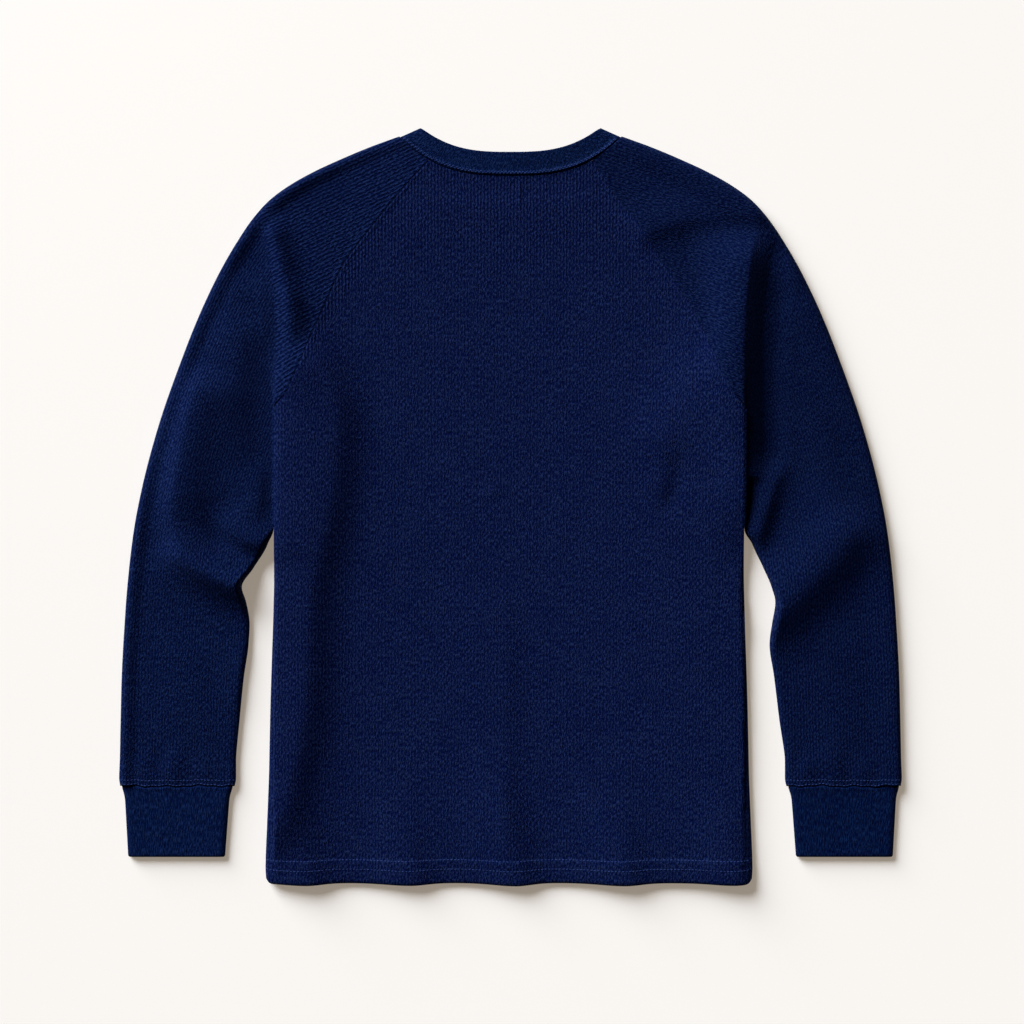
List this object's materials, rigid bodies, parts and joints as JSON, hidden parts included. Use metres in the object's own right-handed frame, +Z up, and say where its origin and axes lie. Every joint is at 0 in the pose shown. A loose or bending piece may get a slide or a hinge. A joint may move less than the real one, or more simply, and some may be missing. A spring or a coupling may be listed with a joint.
{
  "type": "thermal top",
  "caption": "Long-sleeved raglan thermal top in waffle knit with a smooth neckband and cuffs, laid flat on its front with the back facing up.",
  "frame": {"origin": "on the surface that the top lies on, in the middle of the space that it takes up there", "axes": "+X across the top towards the wearer's right sleeve, +Y towards the neck, +Z up from the surface, out of the back"},
  "size_m": [0.7348, 0.7113, 0.0149],
  "materials": {
    "waffle_knit": "matt navy cotton waffle knit with a soft nap",
    "jersey_trim": "matt navy cotton jersey, smooth and doubled"
  },
  "bodies": {
    "root": {"back_panel": "waffle_knit", "front_panel": "waffle_knit", "sleeve_left": "waffle_knit", "sleeve_right": "waffle_knit", "neckband": "jersey_trim", "cuff_left": "jersey_trim", "cuff_right": "jersey_trim"}
  },
  "joints": []
}
